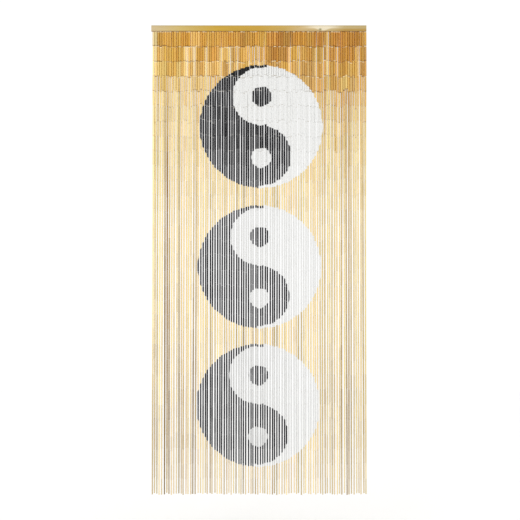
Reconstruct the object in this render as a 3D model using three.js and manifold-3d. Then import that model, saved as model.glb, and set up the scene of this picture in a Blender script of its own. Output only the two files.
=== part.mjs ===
// A bead curtain for a doorway: ninety strands of bamboo tubes that hang from a wooden rail.
// Millimetres. +X runs along the rail, +Y points to the wall behind it and +Z up.
// The origin is the centre of the rail's flat back face.

import * as THREE from "three";
import { mergeVertices } from "three/addons/utils/BufferGeometryUtils.js";
import Module from "manifold-3d";

const wasm = await Module();
wasm.setup();

// Rail: a lath with a flat back, two rounded front edges and eased ends.
const railLength = 900;
const railHeight = 25.5;
const railDepth = 14;
const railEdgeRadius = 3.5;
const railEndEase = 1;

// Strands: they share the rail's length from a wide margin on the left to a narrow one on the right.
const strandCount = 90;
const leftMargin = 9.6; // rail end to the centre of the first strand
const rightMargin = 4.6; // centre of the last strand to the rail end
const strandPitch = (railLength - leftMargin - rightMargin) / (strandCount - 1);
const strandY = -railDepth / 2;
const tubeRows = 31;
const rowPitch = 62.55; // one tube and its wire link
const strandLength = tubeRows * rowPitch;
const raggedEnd = 9; // the strands' lower ends differ by this much
const tubeSides = 6;

// Fat tubes make the heading. Below it the tubes are thin, and thinner still lower down.
const fatDiameter = 10;
const thinSizes = [
  { row: 0, diameter: 7.8 },
  { row: 3, diameter: 8.8 },
  { row: 7, diameter: 8.4 },
  { row: 12, diameter: 6.6 },
  { row: 27, diameter: 6.4 },
  { row: 31, diameter: 4.8 },
];
const shoulder = 3; // height of the slope from a fat tube to a thin one
const bendRows = [7, 12, 27]; // rows at which a strand changes its thickness and its direction

// How many rows of fat tubes the strands have, from the left: each span ends at its last strand.
const headingSpans = [
  { lastStrand: 0, rows: 1 },
  { lastStrand: 3, rows: 3 },
  { lastStrand: 5, rows: 4 },
  { lastStrand: 8, rows: 3 },
  { lastStrand: 10, rows: 4 },
  { lastStrand: 17, rows: 3 },
  { lastStrand: 20, rows: 4 },
  { lastStrand: 61, rows: 3 },
  { lastStrand: 84, rows: 4 },
  { lastStrand: 89, rows: 3 },
];
// Strands whose second and lower tubes are thin already, which show as pale lines in the heading.
const earlyThinStrands = [14, 17, 22, 28, 32, 35, 40, 42, 44, 46, 57, 61, 68, 71, 77, 86];
const noFatStrand = 73;

// The hanging strands lean outwards and wander a little, more towards their lower ends.
const leanLeft = -6.5;
const leanRight = 3.6;
const straightShare = 0.11; // of the length, before strands start to wander
const wanderX = 1.4;
const wanderY = 1.2;
const stagger = 1.3; // the fat tubes push each other to the front and the back in turn
const staggerShare = 0.16; // of the length, in which that dies away

// A thin strip under the rail joins the strands into one comb, where the real ones have wire eyes.
const gap = 0.3;
const spineHeight = 1.6;
const spineDepth = 3;

// A steady number from 0 to 1 for a strand and a purpose.
function chance(strand, purpose) {
  const wave = Math.sin(strand * 12.9898 + purpose * 78.233) * 43758.5453;
  return wave - Math.floor(wave);
}

function fatRows(strand) {
  if (strand === noFatStrand) return 0;
  if (earlyThinStrands.includes(strand)) return 1;
  return headingSpans.find((span) => strand <= span.lastStrand).rows;
}

function thinRadius(row) {
  const next = Math.max(thinSizes.findIndex((size) => row <= size.row), 1);
  const upper = thinSizes[next - 1];
  const lower = thinSizes[next];
  const share = (row - upper.row) / (lower.row - upper.row);
  return (upper.diameter + (lower.diameter - upper.diameter) * share) / 2;
}

// Where a strand's centre line is at a share of its length, from 0 at the rail to 1 at its end.
function strandPlace(strand, share) {
  const across = strand / (strandCount - 1);
  const lean = (leanLeft + (leanRight - leanLeft) * across) * share;
  const turn = 2 * Math.PI * (chance(strand, 1) + share * (0.2 + 0.5 * chance(strand, 2)));
  const depthTurn = 2 * Math.PI * (chance(strand, 3) + share);
  const wander = wanderX * Math.max(share - straightShare, 0) ** 0.25;
  const push = stagger * Math.max(1 - share / staggerShare, 0) * (-1) ** strand;
  return {
    x: -railLength / 2 + leftMargin + strand * strandPitch + lean + wander * Math.sin(turn),
    y: strandY + push + wanderY * share * Math.sin(depthTurn),
  };
}

const strandTop = -railHeight / 2 - gap - spineHeight / 2;

// One strand as a turned solid, bent along its centre line.
function strandGeometry(strand) {
  const rows = fatRows(strand);
  const length = strandLength - raggedEnd * chance(strand, 4);
  const stations = [];
  if (rows > 0) {
    stations.push({ drop: 0, radius: fatDiameter / 2 });
    stations.push({ drop: rows * rowPitch, radius: fatDiameter / 2 });
  }
  const thinStart = rows > 0 ? rows * rowPitch + shoulder : 0;
  stations.push({ drop: thinStart, radius: thinRadius(rows) });
  for (const row of bendRows) {
    stations.push({ drop: row * rowPitch, radius: thinRadius(row) });
  }
  stations.push({ drop: length, radius: thinRadius(tubeRows) });

  const profile = stations.map((station) => new THREE.Vector2(station.radius, -station.drop));
  profile.unshift(new THREE.Vector2(0, 0));
  profile.push(new THREE.Vector2(0, -length));
  profile.reverse(); // bottom to top, so that the faces point out
  const geometry = new THREE.LatheGeometry(profile, tubeSides);
  geometry.rotateX(Math.PI / 2);

  const point = new THREE.Vector3();
  const position = geometry.attributes.position;
  for (let i = 0; i < position.count; i++) {
    point.fromBufferAttribute(position, i);
    const place = strandPlace(strand, Math.max(-point.z, 0) / strandLength);
    position.setXYZ(i, point.x + place.x, point.y + place.y, point.z + strandTop);
  }
  return geometry;
}

// A closed three.js geometry as a solid that can be joined: shared points are merged, and the
// triangles that have no area, at the ends of a turned shape, are left out.
function toSolid(geometry) {
  geometry.deleteAttribute("normal");
  geometry.deleteAttribute("uv");
  const merged = mergeVertices(geometry, 1e-4);
  const corners = merged.index.array;
  const kept = [];
  for (let i = 0; i < corners.length; i += 3) {
    const [a, b, c] = corners.slice(i, i + 3);
    if (a !== b && b !== c && c !== a) kept.push(a, b, c);
  }
  return new wasm.Manifold(
    new wasm.Mesh({
      numProp: 3,
      vertProperties: merged.attributes.position.array,
      triVerts: new Uint32Array(kept),
    }),
  );
}

function toGeometry(solid) {
  const mesh = solid.getMesh();
  const geometry = new THREE.BufferGeometry();
  geometry.setAttribute("position", new THREE.BufferAttribute(mesh.vertProperties, 3));
  geometry.setIndex(new THREE.BufferAttribute(mesh.triVerts, 1));
  geometry.computeVertexNormals();
  return geometry;
}

function rail() {
  const half = railHeight / 2;
  const section = new THREE.Shape();
  section.moveTo(0, -half);
  section.lineTo(0, half);
  section.lineTo(-railDepth + railEdgeRadius, half);
  section.absarc(-railDepth + railEdgeRadius, half - railEdgeRadius, railEdgeRadius, Math.PI / 2, Math.PI);
  section.lineTo(-railDepth, -half + railEdgeRadius);
  section.absarc(-railDepth + railEdgeRadius, -half + railEdgeRadius, railEdgeRadius, Math.PI, Math.PI * 1.5);
  section.closePath();
  const geometry = new THREE.ExtrudeGeometry(section, {
    depth: railLength - 2 * railEndEase,
    bevelThickness: railEndEase,
    bevelSize: railEndEase,
    bevelOffset: -railEndEase,
    bevelSegments: 2,
    curveSegments: 6,
  });
  geometry.translate(0, 0, railEndEase - railLength / 2);
  // The section is drawn with Y across and Z up, and runs along X.
  const across = new THREE.Vector3(0, 1, 0);
  const up = new THREE.Vector3(0, 0, 1);
  const along = new THREE.Vector3(1, 0, 0);
  geometry.applyMatrix4(new THREE.Matrix4().makeBasis(across, up, along));
  const lacqueredWood = new THREE.MeshStandardMaterial({ color: 0xc9a450, roughness: 0.35, metalness: 0 });
  const mesh = new THREE.Mesh(geometry, lacqueredWood);
  mesh.name = "rail";
  return mesh;
}

function strandComb() {
  const first = strandPlace(0, 0).x;
  const last = strandPlace(strandCount - 1, 0).x;
  const spine = new THREE.BoxGeometry(last - first + fatDiameter / 2, spineDepth, spineHeight);
  spine.translate((first + last) / 2, strandY, strandTop);
  const solids = [toSolid(spine)];
  for (let strand = 0; strand < strandCount; strand++) {
    solids.push(toSolid(strandGeometry(strand)));
  }
  const bamboo = new THREE.MeshStandardMaterial({ color: 0xe1c27b, roughness: 0.6, metalness: 0 });
  const mesh = new THREE.Mesh(toGeometry(wasm.Manifold.union(solids)), bamboo);
  mesh.name = "strand_comb";
  return mesh;
}

const curtain = new THREE.Group();
curtain.name = "bead_curtain";
curtain.add(rail(), strandComb());

export default curtain;
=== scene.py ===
# Bead curtain for a doorway: ninety strands of bamboo tubes under a lacquered rail, with three
# yin-yang figures painted on them. Metres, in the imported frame: X runs along the rail, Y towards
# the wall and Z up, and the origin is the centre of the rail's flat back.

import math

import bmesh
import bpy
from mathutils import Matrix, Vector


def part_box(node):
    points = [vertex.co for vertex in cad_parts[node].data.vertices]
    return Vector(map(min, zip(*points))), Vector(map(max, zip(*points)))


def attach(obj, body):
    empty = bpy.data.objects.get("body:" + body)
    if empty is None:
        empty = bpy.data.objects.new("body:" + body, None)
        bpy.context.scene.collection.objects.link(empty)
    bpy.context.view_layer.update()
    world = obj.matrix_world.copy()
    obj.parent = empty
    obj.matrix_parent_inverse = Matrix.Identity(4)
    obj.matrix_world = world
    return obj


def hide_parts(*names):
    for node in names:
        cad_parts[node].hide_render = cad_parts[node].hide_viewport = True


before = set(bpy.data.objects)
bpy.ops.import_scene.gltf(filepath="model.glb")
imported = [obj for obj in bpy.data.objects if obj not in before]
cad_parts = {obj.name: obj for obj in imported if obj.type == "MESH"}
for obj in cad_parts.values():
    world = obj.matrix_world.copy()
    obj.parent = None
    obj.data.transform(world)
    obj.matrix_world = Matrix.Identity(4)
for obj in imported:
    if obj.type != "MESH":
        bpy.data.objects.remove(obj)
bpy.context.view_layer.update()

railLow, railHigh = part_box("rail")
combLow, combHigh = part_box("strand_comb")

draws = {  # what is left to chance, each with a number of its own
    "wanderStart": 1,
    "wanderTurns": 2,
    "depthStart": 3,
    "raggedEnd": 4,
    "length": 5,
    "width": 6,
    "ovality": 7,
    "spin": 9,
    "paintLift": 10,
    "tone": 11,
    "caneTone": 12,
    "hue": 13,
    "caneHue": 14,
    "light": 15,
    "fatCaneAge": 16,
    "ends": 17,
    "wireFacing": 18,
    "paintGrey": 19,
    "thinCaneAge": 1597,  # picked for where the dark canes then hang
}


def chance(strand, draw, row=0):  # from 0 to 1, and the same each time: the end of a very fast wave
    wave = math.sin(strand * 12.9898 + draws[draw] * 78.233 + row * 37.719) * 43758.5453
    return wave - math.floor(wave)


def linear(hexColour):  # sRGB hex to the linear colour that nodes take
    channels = [int(hexColour[i:i + 2], 16) / 255 for i in (1, 3, 5)]
    return [c / 12.92 if c <= 0.04045 else ((c + 0.055) / 1.055) ** 2.4 for c in channels] + [1.0]


def addNode(tree, kind, inputs=None, **settings):
    node = tree.nodes.new("ShaderNode" + kind)
    for name, value in settings.items():
        setattr(node, name, value)
    for key, value in (inputs or {}).items():
        if isinstance(value, bpy.types.NodeSocket):
            tree.links.new(value, node.inputs[key])
        else:
            node.inputs[key].default_value = value
    return node


def newMaterial(name):
    material = bpy.data.materials.new(name)
    material.use_nodes = True
    tree = material.node_tree
    tree.nodes.clear()
    return material, tree


def finishMesh(bm, name, material):
    mesh = bpy.data.meshes.new(name)
    bm.to_mesh(mesh)
    bm.free()
    mesh.materials.append(material)
    piece = bpy.data.objects.new(name, mesh)
    bpy.context.scene.collection.objects.link(piece)
    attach(piece, "root")
    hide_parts("strand_comb")


# where the strands hang

strands = {
    "count": 90,
    "perPiece": 5,  # strands joined into one object
    "leftMargin": 0.0096,  # rail end to the centre of the first strand
    "rightMargin": 0.0046,
    "tubeRows": 31,
    "rowPitch": 0.06255,  # a tube and its wire link
    "topBelowRail": 0.0006,
    "raggedEnd": 0.009,  # lower ends differ by this much
    "leanLeft": -0.0065,  # how far the outer strands hang to the side at their lower ends
    "leanRight": 0.0036,
    "straightShare": 0.13,  # of the length, before strands start to wander
    "wanderX": 0.0014,  # how far, at the lower end
    "wanderPower": 0.25,  # how early they get far
    "wanderTurns": 0.2,  # to the side and back, at least
    "wanderTurnsPlay": 0.5,
    "wanderY": 0.0012,
    "stagger": 0.0016,  # fat tubes push each other to the front and the back in turn
    "staggerShare": 0.3,  # of the length, in which that dies away
    "slimAside": 0.0008,  # a slim tube between fat ones leans against the left one
}
strandY = (combLow.y + combHigh.y) / 2
strandSpan = railHigh.x - railLow.x - strands["leftMargin"] - strands["rightMargin"]
strandPitch = strandSpan / (strands["count"] - 1)
strandTop = railLow.z - strands["topBelowRail"]
strandLength = strands["tubeRows"] * strands["rowPitch"]

heading = {
    "spans": [  # rows of fat tubes, from the left: each span ends at its last strand
        {"lastStrand": 0, "rows": 1},
        {"lastStrand": 3, "rows": 3},
        {"lastStrand": 5, "rows": 4},
        {"lastStrand": 8, "rows": 3},
        {"lastStrand": 10, "rows": 4},
        {"lastStrand": 17, "rows": 3},
        {"lastStrand": 20, "rows": 4},
        {"lastStrand": 61, "rows": 3},
        {"lastStrand": 84, "rows": 4},
        {"lastStrand": 89, "rows": 3},
    ],
    "earlyThin": [14, 17, 22, 28, 32, 35, 40, 42, 44, 46, 57, 61, 68, 71, 77, 86],
    "noFat": 73,
}


def fatRows(strand):
    if strand == heading["noFat"]:
        return 0
    if strand in heading["earlyThin"]:
        return 1
    return next(span["rows"] for span in heading["spans"] if strand <= span["lastStrand"])


def strandX(strand):  # where a strand leaves the rail
    return railLow.x + strands["leftMargin"] + strand * strandPitch


def strandPlace(strand, drop):  # a strand's centre line, this far below its top
    share = drop / strandLength
    across = strand / (strands["count"] - 1)
    lean = (strands["leanLeft"] + (strands["leanRight"] - strands["leanLeft"]) * across) * share
    turns = strands["wanderTurns"] + strands["wanderTurnsPlay"] * chance(strand, "wanderTurns")
    turn = 2 * math.pi * (chance(strand, "wanderStart") + share * turns)
    depthTurn = 2 * math.pi * (chance(strand, "depthStart") + share)
    wander = strands["wanderX"] * max(share - strands["straightShare"], 0) ** strands["wanderPower"]
    tight = max(1 - share / strands["staggerShare"], 0)
    slim = strand in heading["earlyThin"] and drop > strands["rowPitch"]
    aside = strands["slimAside"] * tight if slim or strand == heading["noFat"] else 0
    stagger = strands["stagger"] * tight * (-1) ** strand
    return Vector((
        strandX(strand) + lean - aside + wander * math.sin(turn),
        strandY + stagger + strands["wanderY"] * share * math.sin(depthTurn),
        strandTop - drop,
    ))


def jointDrops(strand):  # how far below the top each joint of a strand is
    rows = range(strands["tubeRows"])
    lengths = [1 + tube["lengthPlay"] * (2 * chance(strand, "length", row) - 1) for row in rows]
    scale = (strandLength - strands["raggedEnd"] * chance(strand, "raggedEnd")) / sum(lengths)
    return [scale * sum(lengths[:row]) for row in (*rows, strands["tubeRows"])]


# bamboo tubes

tube = {
    "fatRadius": 0.00508,
    "thinSizes": [  # the thin tubes get thinner down the strand
        {"row": 0, "radius": 0.0039},
        {"row": 3, "radius": 0.0044},
        {"row": 7, "radius": 0.0042},
        {"row": 12, "radius": 0.0033},
        {"row": 27, "radius": 0.0032},
        {"row": 31, "radius": 0.0024},
    ],
    "linkGap": 0.0004,  # between two tubes, where the wire shows
    "bore": 0.5,  # of the outer radius
    "chamfer": 0.0004,
    "belly": 1.01,  # a tube is a little thicker halfway
    "lengthPlay": 0.06,
    "radiusPlay": 0.05,
    "fatPlay": 0.01,  # of the radius
    "ovality": 0.02,
    "fatSides": 12,
    "thinSides": 8,
    "mapColumns": 20,  # of tubes on a piece's bake map
    "mapMargin": {"side": 0.04, "end": 0.01},  # round each tube there
    "boreMap": {"lower": 0.965, "upper": 0.99},  # where the bore's two ends are on a tube's own map
    "sameHeight": 1e-6,  # heights closer than this are one
}


def thinRadius(row):
    sizes = tube["thinSizes"]
    for upper, lower in zip(sizes, sizes[1:]):
        if row <= lower["row"]:
            share = (row - upper["row"]) / (lower["row"] - upper["row"])
            return upper["radius"] + (lower["radius"] - upper["radius"]) * share
    return sizes[-1]["radius"]


def cornerOrder(part):  # a number from the corners of a face or an edge, to sort them by
    order = 0
    for index in sorted(vert.index for vert in part.verts):
        order = order * 1000 + index  # a tube has far fewer corners
    return order


def makeTube(name, radius, sides):  # the cut through one wall is spun round the tube's middle
    half = strands["rowPitch"] / 2
    bore = radius * tube["bore"]
    edge = tube["chamfer"]
    wall = [  # map is the height on the tube's own map
        {"radius": bore, "height": -half, "map": 0.02},
        {"radius": radius - edge, "height": -half, "map": 0.05},
        {"radius": radius, "height": -half + edge, "map": 0.07},
        {"radius": radius * tube["belly"], "height": 0, "map": 0.48},
        {"radius": radius, "height": half - edge, "map": 0.89},
        {"radius": radius - edge, "height": half, "map": 0.91},
        {"radius": bore, "height": half, "map": 0.94},
    ]
    bm = bmesh.new()
    bakeMap = bm.loops.layers.uv.new("OFBake")
    along = bm.verts.layers.float.new("along")
    corners = [bm.verts.new((spot["radius"], 0, spot["height"])) for spot in wall]
    edges = [bm.edges.new(pair) for pair in zip(corners, corners[1:] + corners[:1])]
    bmesh.ops.spin(
        bm, geom=corners + edges, axis=(0, 0, 1), cent=(0, 0, 0),
        angle=2 * math.pi, steps=sides, use_merge=True,
    )
    bmesh.ops.recalc_face_normals(bm, faces=bm.faces)
    bm.verts.index_update()  # the spin leaves edges and faces in an order that isn't the same each time
    bm.edges.sort(key=cornerOrder)
    bm.faces.sort(key=cornerOrder)
    for vert in bm.verts:
        vert[along] = vert.co.z / (2 * half) + 0.5
    for face in bm.faces:
        face.smooth = True
        middle = face.calc_center_median()
        inBore = all(vert.co.xy.length < bore + edge / 2 for vert in face.verts)
        for loop in face.loops:
            place = loop.vert.co
            if inBore:
                mapHeight = tube["boreMap"]["lower" if place.z < 0 else "upper"]
            else:
                here = (place.xy.length, place.z)
                nearest = min(wall, key=lambda spot: math.dist((spot["radius"], spot["height"]), here))
                mapHeight = nearest["map"]
            turn = math.atan2(middle.y, middle.x) - middle.xy.angle_signed(place.xy)
            loop[bakeMap].uv = (turn / (2 * math.pi) + 0.5, mapHeight)
    for side in bm.edges:  # the rims are sharp, and the ring halfway is not
        first, second = (vert.co.z for vert in side.verts)
        side.smooth = abs(first - second) > tube["sameHeight"] or abs(first) < tube["sameHeight"]
    mesh = bpy.data.meshes.new(name)
    bm.to_mesh(mesh)
    bm.free()
    return mesh


def tubePlace(strand, row, drops):  # turns and stretches the template between two joints
    top, bottom = strandPlace(strand, drops[row]), strandPlace(strand, drops[row + 1])
    if row < fatRows(strand):
        wide = 1 - tube["fatPlay"] * chance(strand, "width", row)
    else:
        wide = thinRadius(row) / tube["thinSizes"][-1]["radius"]
        wide *= 1 + tube["radiusPlay"] * (2 * chance(strand, "width", row) - 1)
    oval = 1 + tube["ovality"] * (chance(strand, "ovality", row) - 0.5)
    tall = (top - bottom).length - tube["linkGap"]
    size = Matrix.Diagonal((wide * oval, wide / oval, tall / strands["rowPitch"], 1))
    spin = Matrix.Rotation(2 * math.pi * chance(strand, "spin", row), 4, "Z")
    lean = (top - bottom).to_track_quat("Z", "Y").to_matrix().to_4x4()
    return Matrix.Translation((top + bottom) / 2) @ lean @ spin @ size


tones = {  # of the bamboo: a tone goes from 0, grey with age, through straw to 1, deep amber
    "straw": 0.35,
    "fadeRowsLeft": 3.6,  # rows in which the amber of the heading fades
    "fadeRowsRight": 5.1,
    "fadePower": 1.2,
    "leftShare": 0.78,  # how amber the left end of the heading is
    "leftLight": 0.14,  # the heading is lighter at the left and darker at the right
    "rightLight": -0.2,
    "sideRows": 4,  # in which that dies away
    "leftHue": 0.15,  # the heading is more olive at the left
    "hueShares": {"group": 0.4, "tube": 0.2, "cane": 0.4},  # what a tube's hue comes from
    "paleHue": 0.6,  # how much of the hue the pale bamboo shows
    "slimTone": -0.14,  # the slim tubes of the heading are paler and catch the light from the slits
    "slimLight": 0.22,
    "slimRows": 3,
    "ageingRow": 18,  # from here down the bamboo greys
    "ageing": 0.28,
    "rightAgeing": 0.72,  # the right side greys less
    "lowestRow": 25,  # from here down the bamboo is lighter again
    "lowestLight": 0.3,
    "light": 0.52,
    "fatPlay": {"tone": 0.07, "light": 0.17},  # from one tube to the next
    "thinPlay": {"tone": 0.05, "light": 0.1},
    "bunch": 4,  # fat tubes that were cut from one cane hang side by side
    "bunchStep": 3,  # how many strands further left the next row's bunches start
    "caneTone": 0.14,  # from one cane to the next
    "caneLight": 0.38,  # most canes are light and a few are dark, more so lower down
    "caneDark": 1.5,
    "darkPower": 3,  # the higher, the fewer are dark
    "playTop": 0.2,  # how much of that shows in the first row, and how much more lower down
    "playMore": 0.62,
    "playRows": 26,
    "rightPlay": 0.48,  # of that at the right side
    # neighbours cut from one cane: shift is towards amber, hue from pink at 0 to olive at 1
    "groups": [
        {"row": 0, "first": 0, "last": 0, "shift": -0.6, "hue": 0.3},
        {"row": 0, "first": 1, "last": 1, "shift": -0.35, "hue": 0.3},
        {"row": 0, "first": 16, "last": 19, "shift": -0.14, "hue": 0.3},
        {"row": 0, "first": 20, "last": 22, "shift": 0.08, "hue": 0.5},
        {"row": 0, "first": 44, "last": 47, "shift": -0.14, "hue": 0.4},
        {"row": 0, "first": 48, "last": 54, "shift": 0.06, "hue": 0.3},
        {"row": 0, "first": 69, "last": 70, "shift": 0.06, "hue": 0.0},
        {"row": 1, "first": 1, "last": 1, "shift": -0.3, "hue": 0.4},
        {"row": 1, "first": 11, "last": 18, "shift": -0.06, "hue": 0.6},
        {"row": 1, "first": 19, "last": 21, "shift": 0.14, "hue": 0.5},
        {"row": 1, "first": 24, "last": 27, "shift": 0.08, "hue": 0.2},
        {"row": 1, "first": 28, "last": 33, "shift": -0.08, "hue": 0.7},
        {"row": 1, "first": 50, "last": 56, "shift": 0.08, "hue": 0.4},
        {"row": 1, "first": 67, "last": 71, "shift": 0.0, "hue": 1.0},
        {"row": 1, "first": 78, "last": 83, "shift": 0.08, "hue": 0.5},
        {"row": 2, "first": 18, "last": 21, "shift": 0.06, "hue": 0.3},
        {"row": 3, "first": 24, "last": 26, "shift": 0.08, "hue": 0.4},
    ],
    "oddStrands": [  # from this row on older canes get darker or browner, and some are paler
        {"strand": 0, "row": -4, "dark": -0.3, "brown": 0.0},
        {"strand": 0, "row": 18, "dark": 0.8, "brown": 0.0},
        {"strand": 2, "row": 8, "dark": -0.15, "brown": 0.0},
        {"strand": 3, "row": 6, "dark": -0.15, "brown": 0.0},
        {"strand": 4, "row": 8, "dark": -0.15, "brown": 0.0},
        {"strand": 5, "row": 12, "dark": 0.5, "brown": 0.1},
        {"strand": 6, "row": 1, "dark": 0.9, "brown": 0.35},
        {"strand": 7, "row": 10, "dark": 0.6, "brown": 0.1},
        {"strand": 8, "row": 10, "dark": -0.15, "brown": 0.0},
        {"strand": 9, "row": 10, "dark": -0.15, "brown": 0.0},
        {"strand": 13, "row": 16, "dark": 0.5, "brown": 0.1},
        {"strand": 17, "row": 14, "dark": 0.4, "brown": 0.0},
        {"strand": 30, "row": 8, "dark": 0.2, "brown": 0.0},
        {"strand": 61, "row": 12, "dark": 0.4, "brown": 0.0},
        {"strand": 88, "row": 6, "dark": 0.4, "brown": 0.1},
    ],
    "oddRows": 8,  # rows that this takes
    "darkest": -0.35,
    "leastEnds": 0.3,  # how strongly a tube's foot and rim show, at least
    "endRows": 16,  # rows in which they fade on the thin tubes
}


def tubeTone(strand, row):  # amber share, hue, lightness, and how strongly the cut ends show, with their painted shade and highlight
    across = strand / (strands["count"] - 1)
    fadeRows = tones["fadeRowsLeft"] + (tones["fadeRowsRight"] - tones["fadeRowsLeft"]) * across
    amber = math.exp(-(row / fadeRows) ** tones["fadePower"])
    amber *= tones["leftShare"] + (1 - tones["leftShare"]) * across
    aged = max(row - tones["ageingRow"], 0) / (strands["tubeRows"] - tones["ageingRow"])
    lowest = max(row - tones["lowestRow"], 0) / (strands["tubeRows"] - tones["lowestRow"])
    fat = row < fatRows(strand)
    play = tones["fatPlay"] if fat else tones["thinPlay"]
    cane = (strand + tones["bunchStep"] * row) // tones["bunch"] if fat else strand
    slim = not fat and row < tones["slimRows"]
    shift, hue = tones["slimTone"] if slim else 0.0, 0.5
    for group in tones["groups"]:
        if group["row"] == row and group["first"] <= strand <= group["last"]:
            shift, hue = shift + group["shift"], group["hue"]
    tone = tones["straw"] + (1 - tones["straw"]) * amber + shift
    tone -= tones["ageing"] * aged * (1 - (1 - tones["rightAgeing"]) * across)
    tone += play["tone"] * (2 * chance(strand, "tone", row) - 1)
    tone += tones["caneTone"] * (chance(cane, "caneTone") - 0.5)
    shares = tones["hueShares"]
    hue = shares["group"] * hue + shares["tube"] * chance(strand, "hue", row)
    hue += shares["cane"] * chance(cane, "caneHue")
    hue = 0.5 + (hue - 0.5) * (tones["paleHue"] + (1 - tones["paleHue"]) * amber)
    hue += tones["leftHue"] * (1 - across) * amber
    light = tones["light"] + play["light"] * (2 * chance(strand, "light", row) - 1)
    light += tones["slimLight"] if slim else 0.0
    side = tones["leftLight"] + (tones["rightLight"] - tones["leftLight"]) * across
    light += side * math.exp(-row / tones["sideRows"]) + tones["lowestLight"] * lowest
    more = tones["playMore"] * min(row / tones["playRows"], 1)
    more *= 1 - (1 - tones["rightPlay"]) * across
    old = chance(cane, "fatCaneAge" if fat else "thinCaneAge") ** tones["darkPower"]
    light += (tones["playTop"] + more) * (tones["caneLight"] - tones["caneDark"] * old)
    for odd in tones["oddStrands"]:
        if odd["strand"] == strand:
            reached = min(max(row - odd["row"], 0) / tones["oddRows"], 1)
            light -= odd["dark"] * reached
            tone += odd["brown"] * reached
    ends = tones["leastEnds"] + (1 - tones["leastEnds"]) * chance(strand, "ends", row)
    ends *= 1.0 if fat else max(1 - row / tones["endRows"], 0)
    return min(max(tone, 0), 1), hue, max(light, tones["darkest"]), ends


paint = {
    "figures": [  # where their centres are; the white is greyer at the left and in some eyes, 0 to 1
        {"x": 0.0102, "z": -0.4103, "left": 0.15, "right": 0.05, "eye": 0.2},
        {"x": 0.0038, "z": -0.9973, "left": 0.4, "right": 0.15, "eye": 0.37},
        {"x": -0.0018, "z": -1.5771, "left": 0.75, "right": 0.2, "eye": 0.9},
    ],
    "greySpan": 1.5,  # of the radius, in which the white goes from the left's grey to the right's
    "greyPlay": 0.06,
    "whole": {"x": 0.0, "z": 0.0, "radius": 0.257},
    "whiteBulb": {"x": 0.0, "z": 0.1265, "radius": 0.1205},
    "blackBulb": {"x": 0.0, "z": -0.1215, "radius": 0.1250},
    "blackEye": {"x": 0.0013, "z": 0.1257, "radius": 0.0415},
    "whiteEye": {"x": -0.0008, "z": -0.1307, "radius": 0.0415},
    "blackTail": 0.021,  # how far the black crescent runs past the middle at the top
    "whiteTail": 0.012,  # the white one at the bottom
    "slant": 0.4,  # how far an edge follows the figure across one tube, from 0 to 1
    "unevenness": 0.005,  # strands hang a little higher or lower than when they were painted
    "feather": 0.0006,
}


def paintPlace(strand, row, drops):  # what takes a point of the tube into its figure; and its grey
    middle = (strandPlace(strand, drops[row]) + strandPlace(strand, drops[row + 1])) / 2
    figure = min(paint["figures"], key=lambda each: abs(each["z"] - middle.z))
    x = strandX(strand) - figure["x"]
    z = middle.z - figure["z"]
    lift = paint["unevenness"] * (chance(strand, "paintLift") - 0.5)
    eye = paint["whiteEye"]
    if abs(x) < eye["radius"] and abs(z - eye["z"]) < eye["radius"] + strands["rowPitch"] / 2:
        grey = figure["eye"]
    else:
        share = min(max(0.5 + x / paint["whole"]["radius"] / paint["greySpan"], 0), 1)
        grey = figure["left"] + (figure["right"] - figure["left"]) * share
    grey += paint["greyPlay"] * (chance(strand, "paintGrey") - 0.5)
    return Vector((x - paint["slant"] * middle.x, 0, lift - figure["z"])), grey


def makeStrands(material):
    fat = makeTube("fatTube", tube["fatRadius"], tube["fatSides"])
    thin = makeTube("thinTube", tube["thinSizes"][-1]["radius"], tube["thinSides"])
    mapRows = math.ceil(strands["perPiece"] * strands["tubeRows"] / tube["mapColumns"])
    aside, above = tube["mapMargin"]["side"], tube["mapMargin"]["end"]
    for first in range(0, strands["count"], strands["perPiece"]):
        last = first + strands["perPiece"]
        bm = bmesh.new()
        bakeMap = bm.loops.layers.uv.new("OFBake")
        bm.verts.layers.float.new("along")
        toneLayer = bm.verts.layers.float_color.new("tubeTone")
        placeLayer = bm.verts.layers.float_vector.new("paintPlace")
        greyLayer = bm.verts.layers.float.new("paintGrey")
        side = bm.verts.layers.float.new("side")
        hung = []
        for strand in range(first, last):
            drops = jointDrops(strand)
            for row in range(strands["tubeRows"]):
                copy = (fat if row < fatRows(strand) else thin).copy()
                copy.transform(tubePlace(strand, row, drops))
                bm.from_mesh(copy)
                place, grey = paintPlace(strand, row, drops)
                top, bottom = strandPlace(strand, drops[row]), strandPlace(strand, drops[row + 1])
                hung.append({
                    "faces": len(copy.polygons),
                    "spot": divmod(len(hung), tube["mapColumns"]),
                    "tone": tubeTone(strand, row),
                    "place": place,
                    "grey": grey,
                    "middle": (top + bottom).x / 2,
                    "radius": tube["fatRadius"] if row < fatRows(strand) else thinRadius(row),
                })
                bpy.data.meshes.remove(copy)
        faces = iter(bm.faces)
        for cane in hung:
            mapRow, mapColumn = cane["spot"]
            for face in (next(faces) for _ in range(cane["faces"])):
                for loop in face.loops:
                    loop.vert[toneLayer] = cane["tone"]
                    loop.vert[placeLayer] = cane["place"]
                    loop.vert[greyLayer] = cane["grey"]
                    loop.vert[side] = abs(loop.vert.co.x - cane["middle"]) / cane["radius"]
                    u, v = loop[bakeMap].uv
                    loop[bakeMap].uv = (
                        (mapColumn + aside + (1 - 2 * aside) * u) / tube["mapColumns"],
                        (mapRow + above + (1 - 2 * above) * v) / mapRows,
                    )
        finishMesh(bm, f"strands_{first + 1:02d}_{last:02d}", material)
    bpy.data.meshes.remove(fat)
    bpy.data.meshes.remove(thin)


# wire eyes

wire = {
    "radius": 0.00022,
    "eyeRadius": 0.0008,
    "hookOffset": 0.0006,  # from the joint to each eye's centre, so that the two eyes link
    "sides": 3,
    "steps": 8,
    "colour": "#b9b4a8",
    "dullColour": "#8f8676",
    "patch": 1 / 60,  # size of the duller places, in metres
}


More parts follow.
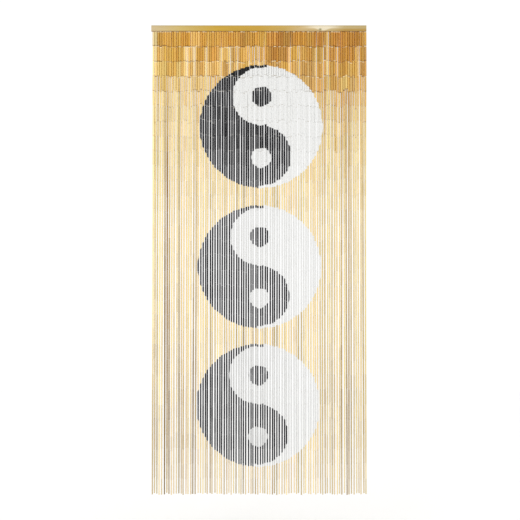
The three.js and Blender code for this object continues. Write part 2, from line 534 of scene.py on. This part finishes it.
def makeEye():
    bm = bmesh.new()
    across = Matrix.Translation((wire["eyeRadius"], 0, 0)) @ Matrix.Rotation(math.pi / 2, 4, "X")
    ring = bmesh.ops.create_circle(bm, segments=wire["sides"], radius=wire["radius"], matrix=across)
    bmesh.ops.spin(
        bm, geom=ring["verts"] + bm.edges[:], axis=(0, 0, 1), cent=(0, 0, 0),
        angle=2 * math.pi, steps=wire["steps"], use_merge=True,
    )
    bmesh.ops.recalc_face_normals(bm, faces=bm.faces)
    for face in bm.faces:
        face.smooth = True
    mesh = bpy.data.meshes.new("wireEye")
    bm.to_mesh(mesh)
    bm.free()
    return mesh


def makeWires(material):
    eye = makeEye()
    flat = Matrix.Rotation(math.pi / 2, 4, "X")
    crossing = Matrix.Rotation(math.pi / 2, 4, "Y")
    half = strands["count"] // 2
    for name, first, last in (("wires_left", 0, half), ("wires_right", half, strands["count"])):
        bm = bmesh.new()
        for strand in range(first, last):
            for row, drop in enumerate(jointDrops(strand)):
                facing = Matrix.Rotation(math.pi * chance(strand, "wireFacing", row), 4, "Z")
                eyes = [{"side": 1, "way": flat}]  # the upper one, in which a strand also ends
                if row < strands["tubeRows"]:
                    eyes.append({"side": -1, "way": crossing})
                for each in eyes:
                    middle = strandPlace(strand, drop)
                    middle.z += each["side"] * wire["hookOffset"]
                    copy = eye.copy()
                    copy.transform(Matrix.Translation(middle) @ facing @ each["way"])
                    bm.from_mesh(copy)
                    bpy.data.meshes.remove(copy)
        finishMesh(bm, name, material)
    bpy.data.meshes.remove(eye)


# materials

def paintMasks(tree):  # how far paint covers the bamboo, and the black share of it
    place = addNode(tree, "VectorMath", {
        0: addNode(tree, "TexCoord").outputs["Object"],
        1: (paint["slant"], 0, 1),
        2: addNode(tree, "Attribute", attribute_name="paintPlace").outputs["Vector"],
    }, operation="MULTIPLY_ADD").outputs[0]
    spot = addNode(tree, "SeparateXYZ", {0: place}).outputs

    inside = {}  # of each disc: 1 inside, 0 outside
    for name in ("whole", "whiteBulb", "blackBulb", "blackEye", "whiteEye"):
        disc = paint[name]
        reach = addNode(tree, "VectorMath", {
            0: place, 1: (disc["x"], 0, disc["z"]),
        }, operation="DISTANCE")
        inside[name] = addNode(tree, "MapRange", {
            "Value": reach.outputs["Value"],
            "From Min": disc["radius"] + paint["feather"],
            "From Max": disc["radius"] - paint["feather"],
        }).outputs["Result"]

    beforeTail = addNode(tree, "Math", {0: spot["X"], 1: paint["blackTail"]}, operation="LESS_THAN")
    upper = addNode(tree, "Math", {
        0: beforeTail.outputs[0], 1: inside["whiteBulb"],
    }, operation="SUBTRACT", use_clamp=True)
    leftHalf = addNode(tree, "Math", {0: spot["X"], 1: -paint["whiteTail"]}, operation="LESS_THAN")
    lower = addNode(tree, "Math", {0: leftHalf.outputs[0], 1: inside["blackBulb"]}, operation="MAXIMUM")
    inUpper = addNode(tree, "Math", {0: spot["Z"], 1: 0.0}, operation="GREATER_THAN")
    halves = addNode(tree, "Mix", {
        0: inUpper.outputs[0], 2: lower.outputs[0], 3: upper.outputs[0],
    }, data_type="FLOAT")
    withEye = addNode(tree, "Math", {0: halves.outputs[0], 1: inside["blackEye"]}, operation="MAXIMUM")
    black = addNode(tree, "Math", {
        0: withEye.outputs[0], 1: inside["whiteEye"],
    }, operation="SUBTRACT", use_clamp=True)
    return inside["whole"], black.outputs[0]


bambooLook = {
    "shades": {  # by tone, from 0 for grey with age to 1 for deep amber
        0.0: "#b8a88a", 0.15: "#cdbe9d", 0.35: "#e5d39e", 0.45: "#e4d2a0", 0.53: "#e2ca8f",
        0.63: "#dcbd79", 0.71: "#d8b067", 0.81: "#d2a550", 0.91: "#cb9a43", 1.0: "#c9923a",
    },
    "pink": "#ffedf3",  # what the shade is multiplied by, by hue
    "olive": "#f4fddd",
    "darkest": (0.67, 0.62, 0.55, 1),  # and by lightness: the dark canes are also browner
    "lightest": (1.41, 1.43, 1.5, 1),
    "grainSize": (0.0008, 0.0008, 0.06),  # between lines, and along one
    "grainShade": (0.88, 1.1),  # of the darkest and the lightest lines
    # painted shade on the sides of each tube that face the neighbouring strands
    "sideShade": {"colour": "#7d5323", "from": 0.65, "full": 1.0, "share": 0.32},  # of the way to a side
    # length, start and end are shares of a tube's length, and from and full are of how strongly
    # its ends show
    # painted shade at the foot, partly browning of the cut, and a painted highlight at the rim, partly
    # the pale cut wood
    "foot": {"colour": "#70451a", "length": 0.1, "share": 0.8, "from": 0.4, "full": 1.0},
    "rim": {"colour": "#f6e6c0", "start": 0.95, "end": 0.97, "share": 0.9, "from": 0.6, "full": 0.9},
    "white": "#e4e4e2",
    "greyWhite": "#bcbcbb",
    "black": "#18181b",
    "worn": {"colour": "#c6c0b4", "length": 0.03, "from": 0.45, "full": 0.85},  # paint
    "roughness": (0.38, 0.55),
    "paintRoughness": 0.7,
}


# cut bamboo under thin lacquer: a satin skin, fine lines along the tube and dry, pale ends, with
# painted shade on the sides and feet and a painted highlight on the rims
def bambooMaterial():
    look = bambooLook
    material, tree = newMaterial("paintedBamboo")
    toneNode = addNode(tree, "Attribute", attribute_name="tubeTone")
    tone = addNode(tree, "SeparateColor", {0: toneNode.outputs["Color"]}).outputs
    ends = toneNode.outputs["Alpha"]
    along = addNode(tree, "Attribute", attribute_name="along").outputs["Fac"]
    place = addNode(tree, "TexCoord").outputs["Object"]

    shades = addNode(tree, "ValToRGB", {0: tone["Red"]})
    ramp = shades.color_ramp.elements
    ramp.remove(ramp[1])
    for position, colour in look["shades"].items():
        stop = ramp.new(position) if position > 0 else ramp[0]
        stop.color = linear(colour)

    # some tubes are pinker and some more olive, and the dark ones are browner than the light ones
    tint = addNode(tree, "Mix", {
        0: tone["Green"], 6: linear(look["pink"]), 7: linear(look["olive"]),
    }, data_type="RGBA")
    tinted = addNode(tree, "Mix", {
        0: 1.0, 6: shades.outputs[0], 7: tint.outputs[2],
    }, data_type="RGBA", blend_type="MULTIPLY")
    bright = addNode(tree, "Mix", {
        0: tone["Blue"], 6: look["darkest"], 7: look["lightest"],
    }, data_type="RGBA", clamp_factor=False)
    toned = addNode(tree, "VectorMath", {
        0: tinted.outputs[2], 1: bright.outputs[2],
    }, operation="MULTIPLY")

    # grain: lines that run along the tube; most of a noise lies between 0.3 and 0.7
    grainSpace = addNode(tree, "Mapping", {
        "Vector": place, "Scale": [1 / size for size in look["grainSize"]],
    })
    grain = addNode(tree, "TexNoise", {
        "Vector": grainSpace.outputs[0], "Scale": 1.0, "Detail": 3.0, "Roughness": 0.6,
    })
    grainShade = addNode(tree, "MapRange", {
        "Value": grain.outputs[0], "From Min": 0.3, "From Max": 0.7,
        "To Min": look["grainShade"][0], "To Max": look["grainShade"][1],
    })
    grained = addNode(tree, "VectorMath", {
        0: toned.outputs[0], "Scale": grainShade.outputs[0],
    }, operation="SCALE")

    # painted shade on the sides that face the neighbours, where the tubes shade each other
    side = addNode(tree, "Attribute", attribute_name="side").outputs["Fac"]
    sideShade = addNode(tree, "MapRange", {
        "Value": side, "From Min": look["sideShade"]["from"], "From Max": look["sideShade"]["full"],
        "To Min": 0.0, "To Max": look["sideShade"]["share"],
    })
    sideShaded = addNode(tree, "Mix", {
        0: sideShade.outputs[0], 6: grained.outputs[0], 7: linear(look["sideShade"]["colour"]),
    }, data_type="RGBA")

    # painted shade at some tubes' feet, which are also a little browned at the cut, and a painted
    # highlight on some upper rims, where the pale cut wood also shows
    foot = addNode(tree, "MapRange", {
        "Value": along, "From Min": 0.0, "From Max": look["foot"]["length"],
        "To Min": look["foot"]["share"], "To Max": 0.0,
    }, interpolation_type="SMOOTHSTEP")
    footShadeStrength = addNode(tree, "MapRange", {
        "Value": ends, "From Min": look["foot"]["from"], "From Max": look["foot"]["full"],
    })
    footShadeShare = addNode(tree, "Math", {0: foot.outputs[0], 1: footShadeStrength.outputs[0]}, operation="MULTIPLY")
    footShaded = addNode(tree, "Mix", {
        0: footShadeShare.outputs[0], 6: sideShaded.outputs[2], 7: linear(look["foot"]["colour"]),
    }, data_type="RGBA")
    rim = addNode(tree, "MapRange", {
        "Value": along, "From Min": look["rim"]["start"], "From Max": look["rim"]["end"],
        "To Min": 0.0, "To Max": look["rim"]["share"],
    })
    rimHighlightStrength = addNode(tree, "MapRange", {
        "Value": ends, "From Min": look["rim"]["from"], "From Max": look["rim"]["full"],
    })
    rimHighlightShare = addNode(tree, "Math", {0: rim.outputs[0], 1: rimHighlightStrength.outputs[0]}, operation="MULTIPLY")
    bamboo = addNode(tree, "Mix", {
        0: rimHighlightShare.outputs[0], 6: footShaded.outputs[2], 7: linear(look["rim"]["colour"]),
    }, data_type="RGBA")

    # matt paint, worn off to the pale wood at some of the tubes' ends
    cover, black = paintMasks(tree)
    grey = addNode(tree, "Attribute", attribute_name="paintGrey").outputs["Fac"]
    white = addNode(tree, "Mix", {
        0: grey, 6: linear(look["white"]), 7: linear(look["greyWhite"]),
    }, data_type="RGBA")
    coat = addNode(tree, "Mix", {
        0: black, 6: white.outputs[2], 7: linear(look["black"]),
    }, data_type="RGBA")
    bare = addNode(tree, "MapRange", {
        "Value": ends, "From Min": look["worn"]["from"], "From Max": look["worn"]["full"],
        "To Min": 0.0, "To Max": look["worn"]["length"],
    })
    fromMiddle = addNode(tree, "Math", {0: along, 1: 0.5}, operation="SUBTRACT")
    reach = addNode(tree, "Math", {0: fromMiddle.outputs[0]}, operation="ABSOLUTE")
    margin = addNode(tree, "Math", {0: 0.5, 1: reach.outputs[0]}, operation="SUBTRACT")
    kept = addNode(tree, "Math", {0: margin.outputs[0], 1: bare.outputs[0]}, operation="GREATER_THAN")
    worn = addNode(tree, "Mix", {
        0: kept.outputs[0], 6: linear(look["worn"]["colour"]), 7: coat.outputs[2],
    }, data_type="RGBA")
    colour = addNode(tree, "Mix", {
        0: cover, 6: bamboo.outputs[2], 7: worn.outputs[2],
    }, data_type="RGBA")

    rough = addNode(tree, "MapRange", {
        "Value": grain.outputs[0], "From Min": 0.3, "From Max": 0.7,
        "To Min": look["roughness"][0], "To Max": look["roughness"][1],
    })
    roughness = addNode(tree, "Mix", {
        0: cover, 2: rough.outputs[0], 3: look["paintRoughness"],
    }, data_type="FLOAT")
    bump = addNode(tree, "Bump", {"Strength": 0.3, "Distance": 0.0002, "Height": grain.outputs[0]})
    shader = addNode(tree, "BsdfPrincipled", {
        "Base Color": colour.outputs[2], "Roughness": roughness.outputs[0], "IOR": 1.4,
        "Normal": bump.outputs[0],
    })
    addNode(tree, "OutputMaterial", {"Surface": shader.outputs[0]})
    return material


railLook = {
    "shades": {  # from the left end at 0 to the right end at 1
        0.0: "#c2ad82", 0.14: "#c0a65c", 0.3: "#bc951d", 0.5: "#b89024", 0.62: "#ba9949",
        0.7: "#c2a770", 0.87: "#b8a26c", 1.0: "#b39c66",
    },
    # from and full are shares of the rail's length, and top and bottom are heights
    "gold": {
        "colour": "#a9822a", "from": 0.84, "full": 0.9, "share": 0.85, "top": 0.001, "bottom": -0.005,
    },
    # the painted highlight: from and full are counted from the centre here
    "paintedHighlight": {
        "colour": "#e8dec4", "centre": 0.797, "from": 0.11, "full": 0.02, "share": 0.78,
        "bottom": -0.003, "top": 0.003,
    },
    "paintedHighlightDip": {"from": 0.045, "depth": 0.009},  # it reaches lower in its centre
    "front": (-0.0105, -0.013),  # depths between which the rounded edge becomes the front
    "knot": {
        "colour": "#706a1c", "place": (0.2568, -0.0138, -0.0045), "size": (0.009, 0.006, 0.007),
        "full": 0.2, "share": 0.8,
    },
    "grainSize": (0.12, 0.0015, 0.0025),  # along a line, and between lines
    "grainShade": (0.9, 1.1),
    # painted shade along the lower and upper edges: from and full are heights here
    "shadedUnderEdge": {"colour": "#8f5d0c", "from": -0.0095, "full": -0.0125, "share": 0.85},
    "shadedUpperEdge": {"colour": "#9a8440", "from": 0.0065, "full": 0.0115, "share": 0.5},
    "roughness": (0.25, 0.45),
}


# a pale wood lath under clear gloss lacquer: long grain, a knot, a painted highlight on its front and
# painted shade along its edges
def railMaterial():
    look = railLook
    material, tree = newMaterial("lacqueredWood")
    place = addNode(tree, "TexCoord").outputs["Object"]
    spot = addNode(tree, "SeparateXYZ", {0: place}).outputs

    # the wood is straw at the left, yellow in the middle and brown at the right
    run = addNode(tree, "MapRange", {"Value": spot["X"], "From Min": railLow.x, "From Max": railHigh.x})
    shades = addNode(tree, "ValToRGB", {0: run.outputs[0]})
    ramp = shades.color_ramp.elements
    ramp.remove(ramp[1])
    for position, colour in look["shades"].items():
        stop = ramp.new(position) if position > 0 else ramp[0]
        stop.color = linear(colour)

    # the lower half is golden at the right, past a dark knot
    gold = look["gold"]
    rightEnd = addNode(tree, "MapRange", {
        "Value": run.outputs[0], "From Min": gold["from"], "From Max": gold["full"],
        "To Min": 0.0, "To Max": gold["share"],
    })
    low = addNode(tree, "MapRange", {
        "Value": spot["Z"], "From Min": gold["top"], "From Max": gold["bottom"],
    })
    golden = addNode(tree, "Math", {0: rightEnd.outputs[0], 1: low.outputs[0]}, operation="MULTIPLY")
    gilded = addNode(tree, "Mix", {
        0: golden.outputs[0], 6: shades.outputs[0], 7: linear(gold["colour"]),
    }, data_type="RGBA")

    # a painted highlight on the lacquer in one place on the front, cream above the middle and lower in
    # its centre
    paintedHighlight = look["paintedHighlight"]
    offset = addNode(tree, "Math", {0: run.outputs[0], 1: paintedHighlight["centre"]}, operation="SUBTRACT")
    reach = addNode(tree, "Math", {0: offset.outputs[0]}, operation="ABSOLUTE")
    near = addNode(tree, "MapRange", {
        "Value": reach.outputs[0], "From Min": paintedHighlight["from"], "From Max": paintedHighlight["full"],
        "To Min": 0.0, "To Max": paintedHighlight["share"],
    }, interpolation_type="SMOOTHSTEP")
    dip = addNode(tree, "MapRange", {
        "Value": reach.outputs[0], "From Min": look["paintedHighlightDip"]["from"], "From Max": 0.0,
        "To Min": 0.0, "To Max": look["paintedHighlightDip"]["depth"],
    }, interpolation_type="SMOOTHSTEP")
    lifted = addNode(tree, "Math", {0: spot["Z"], 1: dip.outputs[0]})
    high = addNode(tree, "MapRange", {
        "Value": lifted.outputs[0], "From Min": paintedHighlight["bottom"], "From Max": paintedHighlight["top"],
    })
    front = addNode(tree, "MapRange", {
        "Value": spot["Y"], "From Min": look["front"][0], "From Max": look["front"][1],
    })
    upper = addNode(tree, "Math", {0: high.outputs[0], 1: front.outputs[0]}, operation="MULTIPLY")
    paintedHighlightShare = addNode(tree, "Math", {0: near.outputs[0], 1: upper.outputs[0]}, operation="MULTIPLY")
    highlighted = addNode(tree, "Mix", {
        0: paintedHighlightShare.outputs[0], 6: gilded.outputs[2], 7: linear(paintedHighlight["colour"]),
    }, data_type="RGBA")

    knot = look["knot"]
    knotSpace = addNode(tree, "Mapping", {
        "Vector": place,
        "Location": [-middle / size for middle, size in zip(knot["place"], knot["size"])],
        "Scale": [1 / size for size in knot["size"]],
    })
    fromKnot = addNode(tree, "VectorMath", {0: knotSpace.outputs[0]}, operation="LENGTH")
    knotShare = addNode(tree, "MapRange", {
        "Value": fromKnot.outputs["Value"], "From Min": 1.0, "From Max": knot["full"],
        "To Min": 0.0, "To Max": knot["share"],
    })
    wood = addNode(tree, "Mix", {
        0: knotShare.outputs[0], 6: highlighted.outputs[2], 7: linear(knot["colour"]),
    }, data_type="RGBA")

    # long grain, and a little depth from it
    grainSpace = addNode(tree, "Mapping", {
        "Vector": place, "Scale": [1 / size for size in look["grainSize"]],
    })
    grain = addNode(tree, "TexNoise", {
        "Vector": grainSpace.outputs[0], "Scale": 1.0, "Detail": 4.0, "Roughness": 0.65,
        "Distortion": 0.4,
    })
    grainShade = addNode(tree, "MapRange", {
        "Value": grain.outputs[0], "From Min": 0.3, "From Max": 0.7,
        "To Min": look["grainShade"][0], "To Max": look["grainShade"][1],
    })
    grained = addNode(tree, "VectorMath", {
        0: wood.outputs[2], "Scale": grainShade.outputs[0],
    }, operation="SCALE")

    # painted shade along the lower and upper edges
    colour = grained.outputs[0]
    for edge in (look["shadedUnderEdge"], look["shadedUpperEdge"]):
        edgeShadeShare = addNode(tree, "MapRange", {
            "Value": spot["Z"], "From Min": edge["from"], "From Max": edge["full"],
            "To Min": 0.0, "To Max": edge["share"],
        })
        colour = addNode(tree, "Mix", {
            0: edgeShadeShare.outputs[0], 6: colour, 7: linear(edge["colour"]),
        }, data_type="RGBA").outputs[2]

    rough = addNode(tree, "MapRange", {
        "Value": grain.outputs[0], "To Min": look["roughness"][0], "To Max": look["roughness"][1],
    })
    bump = addNode(tree, "Bump", {"Strength": 0.2, "Distance": 0.0002, "Height": grain.outputs[0]})
    shader = addNode(tree, "BsdfPrincipled", {
        "Base Color": colour, "Roughness": rough.outputs[0], "IOR": 1.5, "Normal": bump.outputs[0],
    })
    addNode(tree, "OutputMaterial", {"Surface": shader.outputs[0]})
    return material


def wireMaterial():  # thin steel wire, dulled by handling
    material, tree = newMaterial("steelWire")
    place = addNode(tree, "TexCoord").outputs["Object"]
    dulling = addNode(tree, "TexNoise", {"Vector": place, "Scale": 1 / wire["patch"], "Detail": 2.0})
    colour = addNode(tree, "Mix", {
        0: dulling.outputs[0], 6: linear(wire["colour"]), 7: linear(wire["dullColour"]),
    }, data_type="RGBA")
    shader = addNode(tree, "BsdfPrincipled", {
        "Base Color": colour.outputs[2], "Metallic": 1.0, "Roughness": 0.35,
    })
    addNode(tree, "OutputMaterial", {"Surface": shader.outputs[0]})
    return material


def floorMaterial():  # matt white card, on which only soft shadows show
    material, tree = newMaterial("paleFloor")
    shader = addNode(tree, "BsdfPrincipled", {
        "Base Color": linear(studio["floorColour"]), "Roughness": 0.9,
    })
    addNode(tree, "OutputMaterial", {"Surface": shader.outputs[0]})
    return material


# the studio

studio = {
    "floorBelow": 0.2,  # under the lowest tube
    "floorSize": 14.0,
    "floorColour": "#fcfcfb",
    "frameWidth": 2.177,  # what the picture takes in at the curtain
    "frameCentre": (0.0048, -0.969),
    "distance": 6.0,
    "sensor": 36.0,
    "farthest": 60,  # that the camera sees
    "worldStrength": 1.05,
    "softboxes": [
        {"name": "keyLight", "place": (-1.6, -4.0, 1.0), "size": (1.6, 2.2), "power": 20},
        {"name": "fillLight", "place": (2.2, -3.5, -0.4), "size": (1.6, 2.2), "power": 8},
    ],
}


def makeCamera():
    data = bpy.data.cameras.new("camera")
    data.sensor_width = studio["sensor"]
    data.lens = studio["sensor"] * studio["distance"] / studio["frameWidth"]
    data.clip_end = studio["farthest"]
    camera = bpy.data.objects.new("camera", data)
    bpy.context.scene.collection.objects.link(camera)
    x, z = studio["frameCentre"]
    camera.location = (x, strandY - studio["distance"], z)
    camera.rotation_euler = (math.pi / 2, 0, 0)
    bpy.context.scene.camera = camera


def makeFloor():
    bm = bmesh.new()
    bmesh.ops.create_grid(bm, x_segments=1, y_segments=1, size=studio["floorSize"] / 2)
    bmesh.ops.translate(bm, verts=bm.verts, vec=(0, 0, combLow.z - studio["floorBelow"]))
    mesh = bpy.data.meshes.new("floor")
    bm.to_mesh(mesh)
    bm.free()
    mesh.materials.append(floorMaterial())
    floor = bpy.data.objects.new("floor", mesh)
    bpy.context.scene.collection.objects.link(floor)


def makeLight():
    world = bpy.data.worlds.new("studio")
    bpy.context.scene.world = world
    world.use_nodes = True
    background = world.node_tree.nodes["Background"]
    background.inputs["Color"].default_value = (1, 1, 1, 1)
    background.inputs["Strength"].default_value = studio["worldStrength"]
    middle = Vector((0, strandY, studio["frameCentre"][1]))
    for softbox in studio["softboxes"]:
        data = bpy.data.lights.new(softbox["name"], "AREA")
        data.shape = "RECTANGLE"
        data.size, data.size_y = softbox["size"]
        data.energy = softbox["power"]
        lamp = bpy.data.objects.new(softbox["name"], data)
        lamp.location = softbox["place"]
        lamp.rotation_euler = (middle - Vector(softbox["place"])).to_track_quat("-Z", "Y").to_euler()
        bpy.context.scene.collection.objects.link(lamp)
    bpy.context.scene.view_settings.view_transform = "Standard"


makeCamera()
makeFloor()
makeLight()
print("studio ready")

makeStrands(bambooMaterial())
print("strands hung:", strands["count"])
makeWires(wireMaterial())
print("wires linked")

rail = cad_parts["rail"]
rail.data.materials.clear()
rail.data.materials.append(railMaterial())
print("rail finished")
